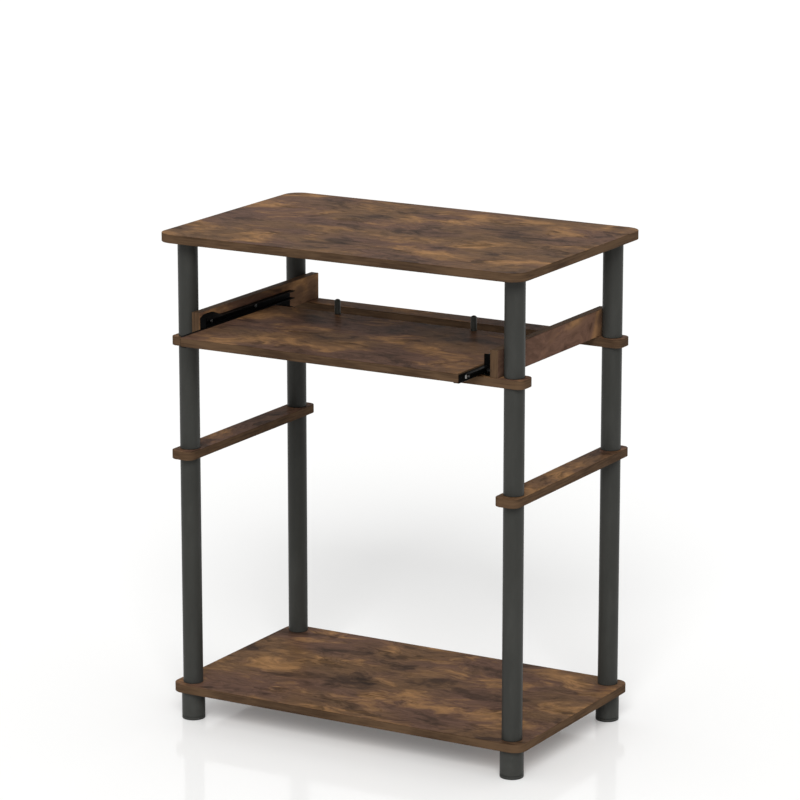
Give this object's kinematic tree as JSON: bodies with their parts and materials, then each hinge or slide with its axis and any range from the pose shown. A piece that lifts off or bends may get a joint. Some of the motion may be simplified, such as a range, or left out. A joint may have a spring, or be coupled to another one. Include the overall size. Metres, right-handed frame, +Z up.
{
  "type": "computer desk",
  "caption": "Narrow computer desk: wood-look boards threaded on round tube posts, with a low shelf and a keyboard tray that slides out on roller rails.",
  "frame": {"origin": "on the floor, in the middle of the four posts, which is also the middle of the desktop seen from above", "axes": "+X to the right of a person sitting at the desk, +Y towards the back, so the tray slides out along -Y; +Z up"},
  "size_m": [0.606, 0.434, 0.75],
  "materials": {
    "board": "satin brown wood-look laminate on particle board, mottled amber and purple-brown",
    "tube": "satin charcoal powder coat on steel tube",
    "foot": "matt charcoal plastic",
    "slide_steel": "semi-gloss black epoxy on sheet steel",
    "fastener": "bright zinc plating",
    "roller": "black nylon",
    "stop": "dark grey plastic"
  },
  "bodies": {
    "desk": {"desktop": "board", "bottom_shelf": "board", "front_stretcher": "board", "back_stretcher": "board", "left_mid_rail": "board", "right_mid_rail": "board", "left_slide_panel": "board", "right_slide_panel": "board", "lower_tube_front_left": "tube", "lower_tube_front_right": "tube", "lower_tube_rear_left": "tube", "lower_tube_rear_right": "tube", "middle_tube_front_left": "tube", "middle_tube_front_right": "tube", "middle_tube_rear_left": "tube", "middle_tube_rear_right": "tube", "upper_tube_front_left": "tube", "upper_tube_front_right": "tube", "upper_tube_rear_left": "tube", "upper_tube_rear_right": "tube", "foot_front_left": "foot", "foot_front_right": "foot", "foot_rear_left": "foot", "foot_rear_right": "foot", "mid_rail_stud_front_left": "fastener", "mid_rail_stud_front_right": "fastener", "mid_rail_stud_rear_left": "fastener", "mid_rail_stud_rear_right": "fastener", "stretcher_stud_front_left": "fastener", "stretcher_stud_front_right": "fastener", "stretcher_stud_rear_left": "fastener", "stretcher_stud_rear_right": "fastener", "desktop_stud_front_left": "fastener", "desktop_stud_front_right": "fastener", "desktop_stud_rear_left": "fastener", "desktop_stud_rear_right": "fastener", "left_cabinet_rail": "slide_steel", "right_cabinet_rail": "slide_steel", "left_cabinet_screw_front": "fastener", "left_cabinet_screw_rear": "fastener", "right_cabinet_screw_front": "fastener", "right_cabinet_screw_rear": "fastener", "left_front_roller_pin": "fastener", "right_front_roller_pin": "fastener"},
    "tray": {"keyboard_tray": "board", "left_keyboard_stop": "stop", "right_keyboard_stop": "stop", "left_tray_rail": "slide_steel", "right_tray_rail": "slide_steel", "left_tray_screw_front": "fastener", "left_tray_screw_rear": "fastener", "right_tray_screw_front": "fastener", "right_tray_screw_rear": "fastener", "left_rear_roller_pin": "fastener", "right_rear_roller_pin": "fastener"},
    "left_front_roller": {"left_front_roller": "roller"},
    "right_front_roller": {"right_front_roller": "roller"},
    "left_rear_roller": {"left_rear_roller": "roller"},
    "right_rear_roller": {"right_rear_roller": "roller"}
  },
  "joints": [
    {"name": "tray_slide", "type": "slide", "parent": "desk", "child": "tray", "axis": [0, -1, 0], "range_m": [-0.065, 0.1225]},
    {"name": "left_front_roller_turn", "type": "hinge", "parent": "desk", "child": "left_front_roller", "pos_m": [-0.23665, -0.1575, 0.601], "axis": [1, 0, 0], "continuous": true},
    {"name": "right_front_roller_turn", "type": "hinge", "parent": "desk", "child": "right_front_roller", "pos_m": [0.23665, -0.1575, 0.601], "axis": [1, 0, 0], "continuous": true},
    {"name": "left_rear_roller_turn", "type": "hinge", "parent": "tray", "child": "left_rear_roller", "pos_m": [-0.23665, 0.002, 0.602], "axis": [1, 0, 0], "continuous": true},
    {"name": "right_rear_roller_turn", "type": "hinge", "parent": "tray", "child": "right_rear_roller", "pos_m": [0.23665, 0.002, 0.602], "axis": [1, 0, 0], "continuous": true}
  ],
  "couplings": [
    {"joint": "left_front_roller_turn", "follows": "tray_slide", "rad_per_m": 181.82},
    {"joint": "right_front_roller_turn", "follows": "tray_slide", "rad_per_m": 181.82},
    {"joint": "left_rear_roller_turn", "follows": "tray_slide", "rad_per_m": 153.85},
    {"joint": "right_rear_roller_turn", "follows": "tray_slide", "rad_per_m": 153.85}
  ]
}
